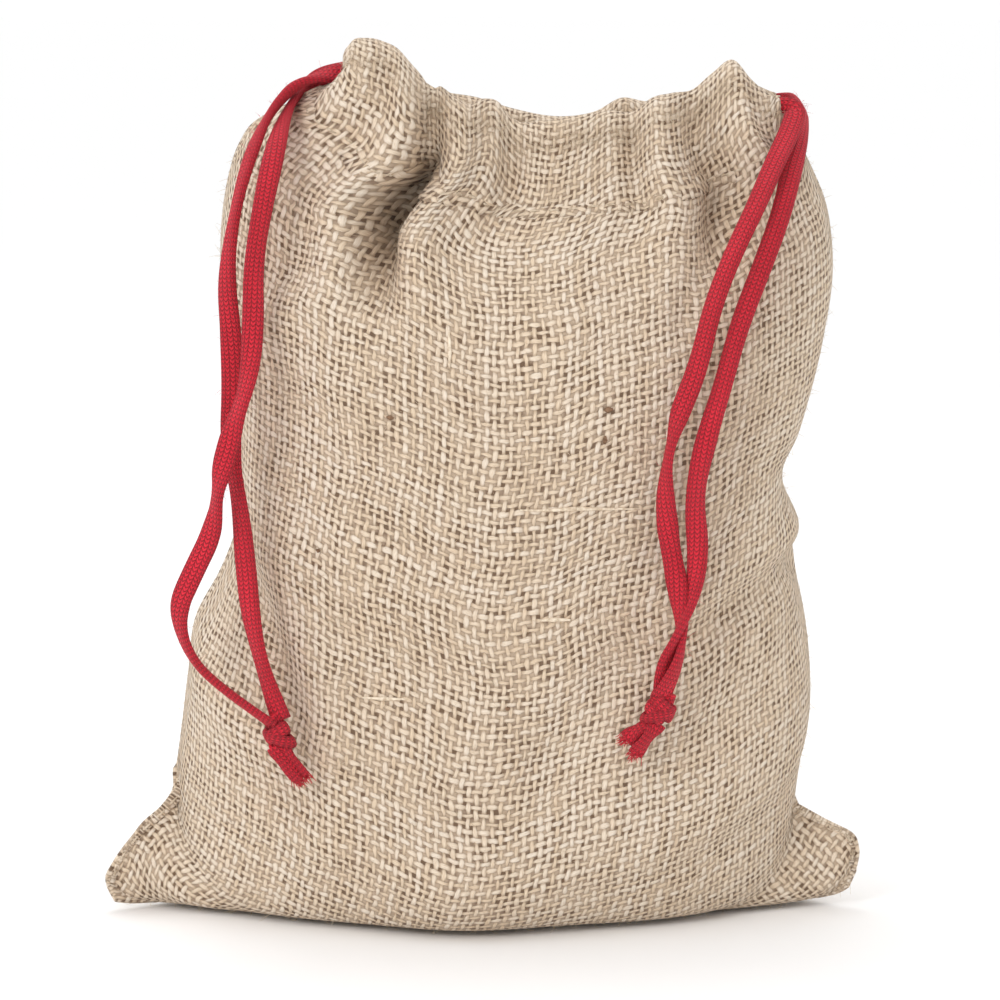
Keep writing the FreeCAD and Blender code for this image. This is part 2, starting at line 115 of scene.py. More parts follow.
class Graph:
    """A material's node tree, with one short call for each kind of node."""

    def __init__(self, name):
        self.material = bpy.data.materials.new(name)
        self.material.use_nodes = True
        self.nodes = self.material.node_tree.nodes
        self.links = self.material.node_tree.links
        self.shader = self.nodes["Principled BSDF"]

    def put(self, socket, value):
        """Link a socket to a node's output, or set its value or its red, green and blue."""
        if isinstance(value, bpy.types.NodeSocket):
            self.links.new(value, socket)
        else:
            socket.default_value = (*value, 1.0) if socket.type == "RGBA" else value

    def math(self, operation, *values):
        node = self.nodes.new("ShaderNodeMath")
        node.operation = operation
        for socket, value in zip(node.inputs, values):
            self.put(socket, value)
        return node.outputs[0]

    def plus(self, first, second):
        return self.math("ADD", first, second)

    def minus(self, first, second):
        return self.math("SUBTRACT", first, second)

    def times(self, first, second):
        return self.math("MULTIPLY", first, second)

    def total(self, value, *others):
        """A value plus others, each given with its weight."""
        for other, weight in others:
            value = self.plus(value, self.times(other, weight))
        return value

    def point(self, x, y, z=0.0):
        node = self.nodes.new("ShaderNodeCombineXYZ")
        for socket, value in zip(node.inputs, (x, y, z)):
            self.put(socket, value)
        return node.outputs[0]

    def noise(self, vector, scale, detail=2.0, roughness=0.5):
        """Smooth noise, about 0 to 1."""
        node = self.nodes.new("ShaderNodeTexNoise")
        self.links.new(vector, node.inputs["Vector"])
        node.inputs["Scale"].default_value = scale
        node.inputs["Detail"].default_value = detail
        node.inputs["Roughness"].default_value = roughness
        return node.outputs["Fac"]

    def chance(self, value):
        """A fixed random number for each whole number."""
        node = self.nodes.new("ShaderNodeTexWhiteNoise")
        node.noise_dimensions = "1D"
        self.put(node.inputs["W"], value)
        return node.outputs["Value"]

    def span(self, value, low, high, to_low=0.0, to_high=1.0):
        """Map a range on to another, clamped, with soft ends."""
        node = self.nodes.new("ShaderNodeMapRange")
        node.interpolation_type = "SMOOTHSTEP"
        for name, number in (("Value", value), ("From Min", low), ("From Max", high),
                             ("To Min", to_low), ("To Max", to_high)):
            self.put(node.inputs[name], number)
        return node.outputs[0]

    def blend(self, factor, first, second):
        node = self.nodes.new("ShaderNodeMix")
        node.data_type = "RGBA"
        for socket, value in ((0, factor), (6, first), (7, second)):
            self.put(node.inputs[socket], value)
        return node.outputs[2]

    def places(self, layer):
        """The two coordinates of a UV layer."""
        uv = self.nodes.new("ShaderNodeUVMap")
        uv.uv_map = layer
        split = self.nodes.new("ShaderNodeSeparateXYZ")
        self.links.new(uv.outputs[0], split.inputs[0])
        return split.outputs[0], split.outputs[1]

    def surface(self, colour, **settings):
        """Set the shader's colour, and its other inputs by name with _ for a space."""
        self.put(self.shader.inputs["Base Color"], colour)
        for name, value in settings.items():
            self.put(self.shader.inputs[name.replace("_", " ")], value)

    def bump(self, height, distance):
        node = self.nodes.new("ShaderNodeBump")
        node.inputs["Distance"].default_value = distance
        self.links.new(height, node.inputs["Height"])
        self.links.new(node.outputs[0], self.shader.inputs["Normal"])


def thread_coordinate(g, along, across, seed):
    """Which thread a point is on, how far it is from its middle, and the thread's half width."""
    spot = g.point(along, across, seed)
    wander = g.minus(g.noise(spot, 0.11, 1.0), 0.5)
    wobble = g.minus(g.noise(spot, 0.75, 1.0), 0.5)
    place = g.total(across, (wander, 1.5), (wobble, 0.46))
    index = g.math("FLOOR", place)
    offset = g.minus(g.math("FRACT", place), 0.5)
    luck = g.chance(g.plus(index, seed))
    slub = g.noise(g.point(g.times(along, 0.42), g.times(index, 7.3), seed), 1.0, 2.0)
    hairy = g.minus(g.noise(spot, 3.2, 2.0), 0.5)
    return index, offset, g.total(0.135, (luck, 0.07), (slub, 0.20), (hairy, 0.16)), luck


def make_jute():
    """Open plain weave of jute: uneven threads over and under, with painted shade in the gaps
    between them and where threads dip under.
    """
    g = Graph("jute_weave")
    u, v = g.places("weave")
    i, fu, wu, luck_u = thread_coordinate(g, v, u, 3.0)
    j, fv, wv, luck_v = thread_coordinate(g, u, v, 41.0)
    parity = g.math("FLOORED_MODULO", g.plus(i, j), 2.0)
    sign = g.minus(1.0, g.times(parity, 2.0))
    heights = []
    for offset, half, cross, way in ((fu, wu, fv, 1.0), (fv, wv, fu, -1.0)):
        edge = g.math("DIVIDE", g.math("ABSOLUTE", offset), half)
        crown = g.math("SQRT", g.math("MAXIMUM", g.minus(1.0, g.times(edge, edge)), 0.0))
        lift = g.math("COSINE", g.times(cross, math.pi))
        lift = g.times(g.times(lift, sign), 0.45 * way)
        height = g.plus(g.times(crown, 0.55), lift)
        inside = g.math("LESS_THAN", edge, 1.0)
        deep = g.times(g.minus(1.0, inside), -1.0)
        heights.append(g.plus(g.times(height, inside), deep))
    over = g.math("GREATER_THAN", heights[0], heights[1])
    height = g.math("MAXIMUM", g.math("MAXIMUM", heights[0], heights[1]), -0.75)
    streak_u = g.noise(g.point(g.times(u, 11.0), g.times(v, 1.1)), 1.0, 3.0)
    streak_v = g.noise(g.point(g.times(u, 1.1), g.times(v, 11.0)), 1.0, 3.0)
    streak = g.blend(over, streak_v, streak_u)
    luck = g.blend(over, luck_v, luck_u)
    patch = g.noise(g.point(u, v), 0.035, 3.0)
    tone = g.span(g.total(g.times(luck, 0.20), (streak, 0.95), (patch, 0.30)), 0.35, 1.0)
    straw = g.blend(luck, (0.880, 0.735, 0.565), (0.850, 0.750, 0.635))
    colour = g.blend(tone, (0.640, 0.480, 0.330), straw)
    # Painted shade: each thread's colour darkens where it dips low under a crossing thread.
    colour = g.blend(g.span(height, 0.0, 0.80), (0.440, 0.315, 0.210), colour)
    # Painted shade in the gaps between threads, darker in some gaps than in others, where the open
    # weave is seen into.
    depth = g.noise(g.point(u, v, 21.0), 0.6, 1.0)
    shadow = g.blend(g.span(depth, 0.35, 0.65), (0.170, 0.108, 0.068),
                     (0.480, 0.365, 0.265))
    colour = g.blend(g.span(height, -0.60, 0.0), shadow, colour)
    fleck = g.span(g.noise(g.point(u, v, 9.0), 0.55, 1.0), 0.775, 0.80, 0.0, 0.5)
    colour = g.blend(fleck, colour, (0.17, 0.10, 0.06))
    g.surface(colour, Roughness=0.9, Specular_IOR_Level=0.18, Sheen_Weight=0.12,
              Sheen_Roughness=0.5)
    g.bump(g.total(height, (g.minus(streak, 0.5), 0.45)), 0.00055)
    return g.material


def make_knit():
    """Flat red knitted cord: rows of small V stitches along it, with painted shade in the grooves
    between them.
    """
    g = Graph("red_knit")
    u, v = g.places("knit")
    lean = g.math("ABSOLUTE", g.minus(g.math("FRACT", g.times(u, 14.0)), 0.5))
    row = g.plus(g.math("DIVIDE", v, 1.15), g.times(lean, 1.3))
    offset = g.minus(g.math("FRACT", row), 0.5)
    crown = g.minus(1.0, g.times(g.times(offset, offset), 4.0))
    crown = g.math("SQRT", g.math("MAXIMUM", crown, 0.0))
    height = g.times(crown, g.span(lean, 0.36, 0.5, 1.0, 0.35))
    hair = g.noise(g.point(g.times(u, 60.0), g.times(v, 1.6)), 1.0, 3.0)
    patch = g.noise(g.point(g.times(u, 2.0), g.times(v, 0.05)), 1.0, 2.0)
    tone = g.plus(g.times(hair, 0.6), g.times(patch, 0.5))
    colour = g.blend(g.span(tone, 0.25, 0.85), (0.52, 0.009, 0.022), (0.84, 0.026, 0.052))
    # Painted shade: the stitches darken towards the grooves between rows and wales, where their
    # height is low.
    colour = g.blend(g.span(height, 0.0, 0.85), (0.22, 0.004, 0.010), colour)
    g.surface(colour, Roughness=0.72, Specular_IOR_Level=0.3, Sheen_Weight=0.12,
              Sheen_Tint=(1.0, 0.45, 0.5))
    g.bump(g.plus(height, g.times(hair, 0.5)), 0.0006)
    return g.material


def make_yarn(name, dark, light):
    """Plain twisted thread or loose fibre."""
    g = Graph(name)
    tone = g.noise(g.nodes.new("ShaderNodeTexCoord").outputs["Object"], 900.0)
    g.surface(g.blend(g.span(tone, 0.3, 0.7), dark, light), Roughness=0.8)
    g.bump(tone, 0.0001)
    return g.material


JUTE = make_jute()
KNIT = make_knit()
THREAD = make_yarn("sewing_yarn", (0.42, 0.32, 0.22), (0.66, 0.55, 0.42))
FIBRE = make_yarn("jute_fibre", (0.50, 0.37, 0.24), (0.80, 0.68, 0.52))
SLUB = make_yarn("slub_yarn", (0.56, 0.43, 0.30), (0.84, 0.73, 0.58))
BARK = make_yarn("bark_fleck", (0.13, 0.070, 0.035), (0.26, 0.15, 0.085))
RED_FIBRE = make_yarn("red_fibre", (0.42, 0.012, 0.024), (0.70, 0.04, 0.06))

make_camera()
make_studio()

# ---- building meshes


class Mesh:
    """Points in millimetres, with faces and one pair of coordinates for each face corner."""

    def __init__(self):
        self.points = []
        self.faces = []
        self.corners = []

    def add(self, points, faces, corners):
        start = len(self.points)
        self.points.extend(tuple(p) for p in points)
        self.faces.extend([start + k for k in face] for face in faces)
        self.corners.extend(corners)

    def place(self, name, material, body, slot):
        mesh = bpy.data.meshes.new(name)
        mesh.from_pydata((np.array(self.points) * MM).tolist(), [], self.faces)
        uv = mesh.uv_layers.new(name="knit" if slot == "red_cord" else "weave")
        uv.data.foreach_set("uv", np.array(self.corners, float).ravel())
        mesh.polygons.foreach_set("use_smooth", [True] * len(mesh.polygons))
        mesh.materials.append(material)
        mesh.update()
        obj = bpy.data.objects.new(name, mesh)
        scene.collection.objects.link(obj)
        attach(obj, body)
        return obj


def along(path):
    """Distance along a line of points."""
    return np.cumsum(np.insert(np.linalg.norm(np.diff(path, axis=0), axis=1), 0, 0))


def shares(path):
    """Distance along a line of points, as shares of its whole length."""
    return along(path) / along(path)[-1]


def unit(vectors):
    return vectors / (np.linalg.norm(vectors, axis=-1, keepdims=True) + 1e-12)


def tube(rings, sides):
    """The corners of each square on a tube made of rings of points."""
    return [[r * sides + k, r * sides + (k + 1) % sides,
             (r + 1) * sides + (k + 1) % sides, (r + 1) * sides + k]
            for r in range(rings - 1) for k in range(sides)]


def ribbon(mesh, path, facing, width, thickness, sides=16):
    """A flat rounded tube along a path in millimetres, its broad side towards facing."""
    run = along(path)
    tangent = unit(np.gradient(path, axis=0))
    across = unit(np.cross(tangent, facing))
    normal = np.cross(across, tangent)
    angles = np.linspace(0, 2 * math.pi, sides, endpoint=False)
    wide = np.sign(np.cos(angles)) * np.abs(np.cos(angles)) ** 0.8
    thick = np.sign(np.sin(angles)) * np.abs(np.sin(angles)) ** 0.8
    width = np.broadcast_to(width, run.shape)
    thickness = np.broadcast_to(thickness, run.shape)
    rings = (path[:, None, :]
             + across[:, None, :] * (wide[None, :] * width[:, None] / 2)[..., None]
             + normal[:, None, :] * (thick[None, :] * thickness[:, None] / 2)[..., None])
    points = list(rings.reshape(-1, 3)) + [path[0], path[-1]]
    faces = tube(len(path), sides)
    corners = []
    for here, there in zip(run, run[1:]):
        for side in range(sides):
            low, high = side / sides, (side + 1) / sides
            corners += [(low, here), (high, here), (high, there), (low, there)]
    last = (len(path) - 1) * sides
    for side in range(sides):
        after = (side + 1) % sides
        faces.append([len(points) - 2, after, side])
        faces.append([len(points) - 1, last + side, last + after])
        for end in (run[0], run[-1]):
            corners += [(side / sides, end)] * 3
    mesh.add(points, faces, corners)


def strand_path(points):
    """Points of the smooth spline that has the given points, in millimetres, as its controls."""
    curve = bpy.data.curves.new("route", "CURVE")
    curve.dimensions = "3D"
    curve.resolution_u = 12
    spline = curve.splines.new("NURBS")
    spline.points.add(len(points) - 1)
    for control, (x, y, z) in zip(spline.points, points):
        control.co = (x * MM, y * MM, z * MM, 1.0)
    spline.order_u = 3
    spline.use_endpoint_u = True
    obj = bpy.data.objects.new("route", curve)
    scene.collection.objects.link(obj)
    bpy.context.view_layer.update()
    mesh = bpy.data.meshes.new_from_object(obj)
    path = np.array([tuple(vertex.co) for vertex in mesh.vertices]) / MM
    bpy.data.objects.remove(obj)
    bpy.data.meshes.remove(mesh)
    return path


def cubic(f, low, low_slope, high, high_slope, gap=1.0):
    """A smooth curve from low to high, read at the fraction f of the gap between them."""
    return ((2 * f**3 - 3 * f**2 + 1) * low + (f**3 - 2 * f**2 + f) * gap * low_slope
            + (3 * f**2 - 2 * f**3) * high + (f**3 - f**2) * gap * high_slope)


def through(keys, column, places):
    """A smooth line through one column of a list of keys, read at the given places."""
    xs = np.array([k[0] for k in keys], float)
    ys = np.array([k[column] for k in keys], float)
    slopes = np.gradient(ys, xs)
    places = np.clip(np.asarray(places, float), xs[0], xs[-1])
    spot = np.clip(np.searchsorted(xs, places) - 1, 0, len(xs) - 2)
    gap = xs[spot + 1] - xs[spot]
    f = (places - xs[spot]) / gap
    return cubic(f, ys[spot], slopes[spot], ys[spot + 1], slopes[spot + 1], gap)


def facing_along(path, keys):
    """Unit directions at every point of a path, from keys of distance share, x, y and z."""
    return unit(np.stack([through(keys, c, shares(path)) for c in (1, 2, 3)], axis=1))


def turned(path, facing, keys):
    """The facing directions turned about the path, from keys of distance share and degrees."""
    angle = np.radians(through(keys, 1, shares(path)))[:, None]
    tangent = unit(np.gradient(path, axis=0))
    flat = unit(facing - tangent * np.sum(facing * tangent, axis=1, keepdims=True))
    return flat * np.cos(angle) + np.cross(tangent, flat) * np.sin(angle)


# ---- the drawstrings

STRANDS = {
    "left_cord_front": {
        "route": [
            (-35, -7.6, 222.5), (-46.5, -8.6, 222), (-55.5, -14, 213), (-60.5, -24, 201),
            (-64, -31, 186.5), (-66, -34.5, 171), (-64.5, -36, 155), (-64.5, -36.5, 139.5),
            (-65, -37, 126), (-62.5, -38.5, 112), (-61, -42, 97), (-59.5, -44, 82.5),
            (-56, -45.5, 68.5), (-51.8, -46.5, 57.5),
        ],
        "facing": [(0, 0, -1, 0), (0.08, -0.5, -0.8, 0.4), (0.3, -0.3, -1, 0), (1, 0, -1, 0)],
        "twist": [(0, 0), (0.03, 40), (0.06, 65), (0.12, 50), (0.18, 25), (0.3, 50),
                  (0.42, 15), (0.55, -25), (0.66, 40), (0.8, 10), (0.92, 50), (1, 20)],
    },
    "left_cord_back": {
        "route": [
            (-35, 7.6, 222.5), (-43.5, 5.5, 222), (-49.5, -4.5, 216), (-52, -17, 210.5),
            (-53.5, -28.5, 203), (-56, -36, 190.5), (-58.5, -40.5, 175), (-58.5, -41.5, 160),
            (-59.5, -44, 145.5), (-64, -45.5, 132.5), (-67.5, -45, 119.5), (-69, -44, 106.5),
            (-74.5, -44, 95.5), (-79, -44, 85.5), (-75.5, -45.5, 73.5), (-66, -46, 64.5),
            (-53.5, -46.8, 56),
        ],
        "facing": [(0, 0, 1, 0), (0.06, -0.7, 0.6, 0.5), (0.13, -0.8, -0.1, 0.7),
                   (0.22, -0.3, -0.9, 0.4), (0.35, 0, -1, 0), (1, 0, -1, 0)],
        "twist": [(0, 0), (0.2, 0), (0.34, -35), (0.46, 10), (0.56, 60), (0.60, 10),
                  (0.66, 75), (0.72, 20), (0.78, 15), (0.84, 65), (0.90, 80), (1, 70)],
    },
    "right_cord_front": {
        "route": [
            (77, -11.4, 213.5), (82.5, -12.2, 214.2), (80, -20, 208), (75.5, -29.5, 200.5),
            (70.5, -39, 190.5), (64, -45, 178), (58.5, -48.5, 164.5), (55, -49.5, 149),
            (49.5, -49.5, 135.5), (46.5, -49.5, 121), (47.5, -49.5, 106.5), (50, -49.3, 93.5),
            (51.5, -50, 82.5), (50.5, -52.2, 72.5), (45.6, -51.6, 64),
        ],
        "facing": [(0, 0, -1, 0), (0.05, 0.2, -1, 0.3), (0.1, 0.4, -0.8, 0.6),
                   (0.3, 0, -1, 0.2), (1, 0, -1, 0)],
        "twist": [(0, 0), (0.10, 20), (0.2, 32), (0.45, 30), (0.56, 20), (0.62, 75),
                  (0.70, 30), (0.78, -30), (0.86, 45), (0.94, 110), (1, 150)],
    },
    "right_cord_back": {
        "route": [
            (77, 11.4, 213.5), (82, 9.2, 214.8), (84.5, 1.5, 213.5), (83.5, -11.5, 208.5),
            (80.5, -25, 200), (77, -36, 188), (71.5, -43.5, 174.5), (65.5, -48, 160),
            (61.5, -49, 145), (57, -49.5, 130.5), (54, -49.5, 116), (55.5, -49.5, 101.5),
            (54, -50, 90), (50, -52.4, 80.5), (46, -50.2, 71.5), (46.6, -49.6, 63.5),
        ],
        "facing": [(0, 0, 1, 0), (0.06, 0.7, 0.6, 0.5), (0.14, 0.9, -0.1, 0.5),
                   (0.26, 0.3, -0.9, 0.4), (0.4, 0, -1, 0), (1, 0, -1, 0)],
        "twist": [(0, 0), (0.15, 15), (0.28, 30), (0.45, 32), (0.6, 28), (0.72, -35),
                  (0.8, 20), (0.88, 80), (0.95, 130), (1, 160)],
    },
}

KNOTS = {"left": (-52.9, -46.5, 53.9), "right": (45.7, -50.5, 60.8)}
TAILS = {
    "left": [[(0.6, -0.6, -3), (3.6, -0.8, -7), (6.9, 0.2, -10.6)],
             [(-0.6, -1.2, -3), (1.8, -1.8, -7.4), (5.6, -1, -11.8)]],
    "right": [[(-1, -0.5, -2), (-5, -0.6, -4.6), (-8.6, 0.2, -7.6)],
              [(-0.5, -1.4, -3), (-3.4, -2, -7.2), (-6.4, -1, -11.2)]],
}
# How each tail turns about itself: its own distance share and degrees.
TAIL_TWISTS = {
    "left": [[(0, 20), (0.5, 50), (1, 70)], [(0, 10), (0.5, -45), (1, -65)]],
    "right": [[(0, 10), (0.45, 60), (1, 5)], [(0, 10), (0.5, -55), (1, -20)]],
}
# A knot's axis leans by this many radians from its strands towards its tails.
KNOT_LEAN = 0.45
KNOT_STEPS = 70
WRAP_THICKNESS = 2.0
# The front half of each loop in the casing, from its run to the mouth's far end. The back half
# mirrors it.
HALF_LOOPS = {
    "left": [(4, -7.6, 208), (22, -7.6, 203.8), (42, -7.6, 203.6), (60, -7.6, 205),
             (72, -7, 206), (74, 0, 206.4)],
    "right": [(37, -11.4, 202.6), (19, -11.4, 202.4), (-1, -11.4, 205),
              (-19, -11, 209), (-31, -8, 211), (-34, 0, 211.5)],
}
RUN_NARROWING = 1.2
HAIRS_ON_STRAND = 420
HAIRS_ON_TIP = 46
HAIR_RADIUS = 0.045
FRAY_RADIUS = 0.17
HAIR_SHARES = (0.0, 0.35, 0.7, 1.0)
FORWARD = (0.0, -1.0, 0.0)


def frayed_end(tip, heading):
    """Short loose hairs that fan out of a cut end."""
    lines = []
    for _ in range(HAIRS_ON_TIP):
        way = unit(np.array(heading) + rng.normal(0, 0.35, 3))
        start = np.array(tip) + rng.normal(0, 0.75, 3) * (1, 0.6, 0.6) - way * 1.2
        reach = rng.uniform(1.8, 3.6)
        bend = rng.normal(0, 0.5, 3)
        lines.append([start + way * reach * f + bend * f * f for f in HAIR_SHARES])
    return lines


def fine_lines(mesh, lines, radius, sides=4):
    """Thin tapering hairs or threads along short lines of points."""
    for line in lines:
        line = np.array(line)
        tangent = unit(np.gradient(line, axis=0))
        side = unit(np.cross(tangent, (0.31, 0.17, 0.93)))
        top = np.cross(side, tangent)
        taper = np.linspace(1.0, 0.35, len(line))
        angles = np.linspace(0, 2 * math.pi, sides, endpoint=False)
        wide, high = ((turn[None, :] * taper[:, None])[..., None]
                      for turn in (np.cos(angles), np.sin(angles)))
        rings = (line[:, None, :] + side[:, None, :] * wide * radius
                 + top[:, None, :] * high * radius)
        faces = tube(len(line), sides)
        faces.append(list(range(sides))[::-1])
        faces.append([(len(line) - 1) * sides + k for k in range(sides)])
        corners = [(0.0, 0.0)] * sum(len(face) for face in faces)
        mesh.add(rings.reshape(-1, 3), faces, corners)


def cord_hairs(name, path, body):
    """Fine loose hairs standing off a strand."""
    lines = []
    for _ in range(HAIRS_ON_STRAND):
        spot = path[int(rng.integers(4, len(path) - 2))]
        way = unit(rng.normal(0, 1, 3))
        start = spot + way * (1.9, 1.0, 1.9)
        lean = rng.normal(0, 0.6, 3)
        reach = rng.uniform(0.4, 1.5)
        lines.append([start + (way + lean * f) * reach * f for f in HAIR_SHARES])
    mesh = Mesh()
    fine_lines(mesh, lines, HAIR_RADIUS, sides=3)
    return mesh.place(name, RED_FIBRE, body, "red_cord")


def outwards(turn):
    """Unit directions level with the floor, at angles in radians."""
    return unit(np.stack([np.cos(turn), np.sin(turn), np.zeros_like(turn)], axis=1))


def build_knot(side):
    """A wrapped overhand knot: a core with the cord wound round it."""
    centre = np.array(KNOTS[side])
    lean = 1.0 if side == "left" else -1.0
    girth = 2.6 if side == "left" else 3.0
    tilt = KNOT_LEAN * lean
    upright = np.array([[math.cos(tilt), 0.0, math.sin(tilt)], [0.0, 1.0, 0.0],
                        [-math.sin(tilt), 0.0, math.cos(tilt)]])
    mesh = Mesh()
    share = np.linspace(0, 1, KNOT_STEPS)
    full = np.sin(np.pi * (0.08 + 0.84 * share)) ** 0.3
    turn = 2 * math.pi * 1.45 * share + (0.4 if side == "left" else 2.4)
    coil = np.stack([girth * np.cos(turn), 2.5 * np.sin(turn),
                     2.6 - 4.6 * share + 0.9 * lean * np.cos(turn)], axis=1)
    ribbon(mesh, coil @ upright + centre, outwards(turn) @ upright, 3.9 * full, WRAP_THICKNESS)
    turn = 2 * math.pi * 1.05 * share - math.pi * 0.9
    cross = np.stack([girth * 0.96 * np.cos(turn), 2.9 * np.sin(turn),
                      -1.2 - 2.4 * lean * np.cos(turn)], axis=1)
    ribbon(mesh, cross @ upright + centre, outwards(turn) @ upright, 3.3 * full, WRAP_THICKNESS)
    core = np.stack([0.5 * np.sin(5 * share), 0.3 * np.sin(6 * share) - 0.3,
                     4.6 - 9.2 * share], axis=1)
    ribbon(mesh, core @ upright + centre, np.tile(FORWARD, (KNOT_STEPS, 1)),
           4.4 - 0.6 * np.sin(np.pi * share), 3.0)
    return mesh.place(side + "_wrapped_knot", KNIT, side + "_drawstring", "red_cord")


def build_tails(side):
    """The two cut ends below a knot, with frayed tips."""
    mesh = Mesh()
    hairs = Mesh()
    for number, bends in enumerate(TAILS[side]):
        path = strand_path([np.array(KNOTS[side]) + bend for bend in bends])
        share = shares(path)
        facing = turned(path, np.tile(FORWARD, (len(path), 1)), TAIL_TWISTS[side][number])
        width = 4.3 + 0.45 * np.sin(9.0 * share + number)
        ribbon(mesh, path, facing, width, 2.5 - 0.3 * share)
        fine_lines(hairs, frayed_end(path[-1], unit(path[-1] - path[-3])), FRAY_RADIUS)
    tails = mesh.place(side + "_cut_ends", KNIT, side + "_drawstring", "red_cord")
    frays = hairs.place(side + "_frayed_tips", RED_FIBRE, side + "_drawstring", "red_cord")
    return tails, frays


def build_drawstring(side):
    """Both strands, both runs in the casing, the knot and the tails of one drawstring."""
    body = side + "_drawstring"
    knot = build_knot(side)
    tails, frays = build_tails(side)
    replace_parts(knot, side + "_knot")
    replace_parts(tails, side + "_tails")
    for which, sign in FACES.items():
        name = side + "_cord_" + which
        facts = STRANDS[name]
        path = strand_path(facts["route"])
        facing = turned(path, facing_along(path, facts["facing"]), facts["twist"])
        mesh = Mesh()
        ribbon(mesh, path, facing, CORD_WIDTH, CORD_THICKNESS)
        strand = mesh.place(name, KNIT, body, "red_cord")
        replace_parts(strand, name + "_strand")
        hairs = cord_hairs(name + "_hairs", path, body)
        end = np.array(HALF_LOOPS[side][0]) * (1, -sign, 1)
        inner = Mesh()
        ribbon(inner, np.linspace(np.array(facts["route"][0]), end, 8),
               np.tile((0.0, sign, 0.0), (8, 1)),
               CORD_WIDTH - np.linspace(0.0, RUN_NARROWING, 8), CORD_THICKNESS)
        hidden = inner.place(name + "_in_casing", KNIT, body, "red_cord")
        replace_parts(hidden, name + "_run")


def build_loop(side):
    """The part of a drawstring that stays in the casing and turns round the mouth's far end."""
    ahead = HALF_LOOPS[side]
    path = strand_path(ahead + [(x, -y, z) for x, y, z in ahead[-2::-1]])
    keys = [(0.0, 0, -1, 0), (0.4, 0, -1, 0), (0.5, 1 if side == "left" else -1, 0, 0),
            (0.6, 0, 1, 0), (1.0, 0, 1, 0)]
    mesh = Mesh()
    ribbon(mesh, path, facing_along(path, keys), CORD_WIDTH - RUN_NARROWING, CORD_THICKNESS)
    loop = mesh.place(side + "_loop_in_casing", KNIT, "pouch", "red_cord")
    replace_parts(loop, side + "_cord_loop")


for side in ("left", "right"):
    build_drawstring(side)
    build_loop(side)

# ---- the filled pouch's cloth

# The sides as seen from the front: height, left edge, right edge.
SIDES = [
    (0, -97, 94), (4.5, -99.5, 97.6), (8.8, -101, 99.6), (12, -99.5, 100.8), (16, -97, 101),
    (20.5, -93.5, 98.5), (23.5, -91.2, 92), (28, -86, 84.5), (32, -83, 83.5), (40, -82, 84.5),
    (62, -79.5, 88), (78, -77, 86.5), (90, -70.5, 84), (102, -66, 82.5), (120, -64.8, 80),
    (137, -65, 84.5), (160, -66.5, 90.5), (178, -69.5, 92.7), (190, -68.5, 90.5), (197, -67, 87.5),
    (204, -64.5, 84), (210, -60, 80), (214.5, -51.5, 78), (218, -43, 77), (223, -36.5, 76.5),
    (232, -35.5, 76),
]

# Rows of the cloth: how far up the pattern, height at mid front, height at the left and right
# side seams, half depth of the pouch there, and how full the outline is (1 is a lens, 2 an
# ellipse).
ROWS = [
    (0, 0.6, 2, 5, 0, 1),
    (12, 0.6, 14, 17.5, 12.4, 1.3),
    (26, 0.8, 26, 26.5, 27.5, 1.7),
    (38, 2, 38.5, 39.5, 40, 2.1),
    (52, 13, 52, 53, 48.5, 2.6),
    (70, 31, 70, 70, 48, 2.9),
    (100, 61, 99, 98, 46, 3.1),
    (130, 91.5, 128, 126, 45, 3.2),
    (160, 121.5, 157, 153, 45.5, 3.1),
    (185, 146.5, 181, 175, 45.5, 2.9),
    (203, 164, 198, 189, 40, 2.6),
    (217, 177, 209.5, 199, 32, 2.4),
    (230, 189, 217.5, 206, 24, 2.3),
    (242, 200.5, 222, 211.5, 18, 2.4),
    (254, 212, 226, 216.5, 15.5, 2.6),
]

# The rim's line, seen from the front: across, height.
RIM_LINE = {
    "front": [
        (-101.5, 225), (-98, 229), (-91, 231), (-83, 230.5), (-75, 228), (-69, 223), (-64, 219),
        (-55, 219), (-49, 216.5), (-45, 215), (-37, 216), (-30, 215), (-25, 211.5), (-21, 210),
        (-11, 210.5), (5, 211.5), (21, 213), (34, 213), (40, 216), (50, 217.5), (61, 218.5),
        (69, 222.5), (78, 226), (87, 220.5), (97, 215.5), (101.5, 214.5),
    ],
    "back": [
        (-101.5, 225), (-90, 227), (-74, 223), (-60, 218), (-40, 215.5), (-22, 212.5), (0, 210.5),
        (16, 212), (28, 215.5), (40, 214.5), (58, 216.5), (74, 220), (88, 219), (101.5, 214.5),
    ],
}

# Gathers: where across at the rim and at their foot, half width, how far they push out (or in)
# at the rim and at their strongest, and the rows where they start and are strongest.
GATHERS = {
    "front": [
        (-90, -86, 10, 5, 5, 206, 244),
        (-72, -53, 6.5, 6, 9.5, 194, 226),
        (-61, -40, 6.2, -6, -41, 190, 224),
        (-47, -27, 6.5, 6, 8, 192, 228),
        (-23, -20, 5, -4, -5, 206, 238),
        (33, 29, 5, -4, -4, 210, 242),
        (44, 40, 9, 6, 6.5, 196, 238),
        (62, 56, 6.5, -3, -9, 184, 224),
        (80, 80, 10, 5, 4, 206, 244),
    ],
    "back": [
        (-84, -82, 12, 6, 5, 206, 244),
        (-64, -58, 7, -3, -9, 196, 226),
        (-44, -42, 9, 5, 5, 200, 236),
        (-24, -22, 7, -3, -7, 200, 228),
        (-3, -2, 9, 4.5, 4.5, 204, 238),
        (20, 18, 7, -3, -8, 196, 224),
        (41, 40, 9, 5, 4.5, 204, 238),
        (62, 58, 7, -3, -8, 198, 226),
        (84, 84, 11, 6, 5, 206, 244),
    ],
}

